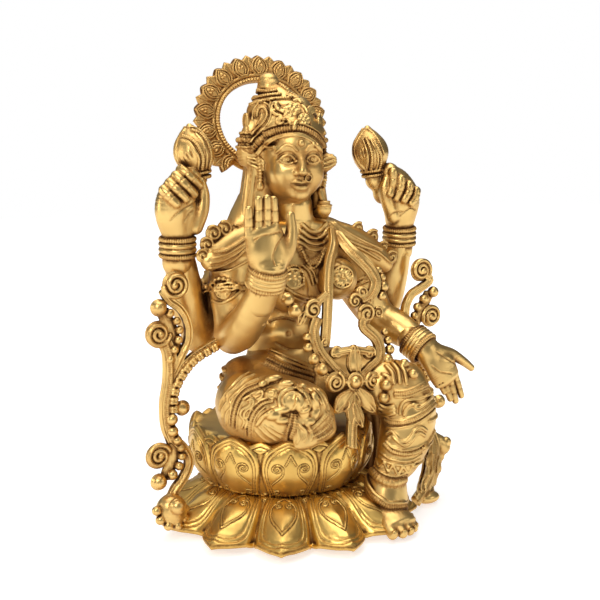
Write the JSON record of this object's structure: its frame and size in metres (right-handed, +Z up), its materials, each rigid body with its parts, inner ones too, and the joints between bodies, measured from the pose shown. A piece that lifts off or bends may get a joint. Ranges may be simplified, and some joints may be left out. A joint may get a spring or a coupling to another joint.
{
  "type": "seated goddess figure",
  "caption": "Cast brass figure of a four-armed seated goddess on a double lotus plinth, with a halo ring, a garland and scroll branches at the sides.",
  "frame": {"origin": "on the ground, on the axis of the upper lotus of the plinth", "axes": "+Z up, the figure faces -Y and its right hand is toward -X"},
  "size_m": [0.2314, 0.178, 0.3166],
  "materials": {
    "plinth_brass": "polished, worn",
    "figure_brass": "polished",
    "trim_brass": "polished, worn"
  },
  "bodies": {
    "root": {"lotus_plinth": "plinth_brass", "goddess_figure": "figure_brass", "halo_ring": "trim_brass", "garland": "trim_brass", "side_scroll_right": "trim_brass", "side_scroll_left": "trim_brass"}
  },
  "joints": []
}
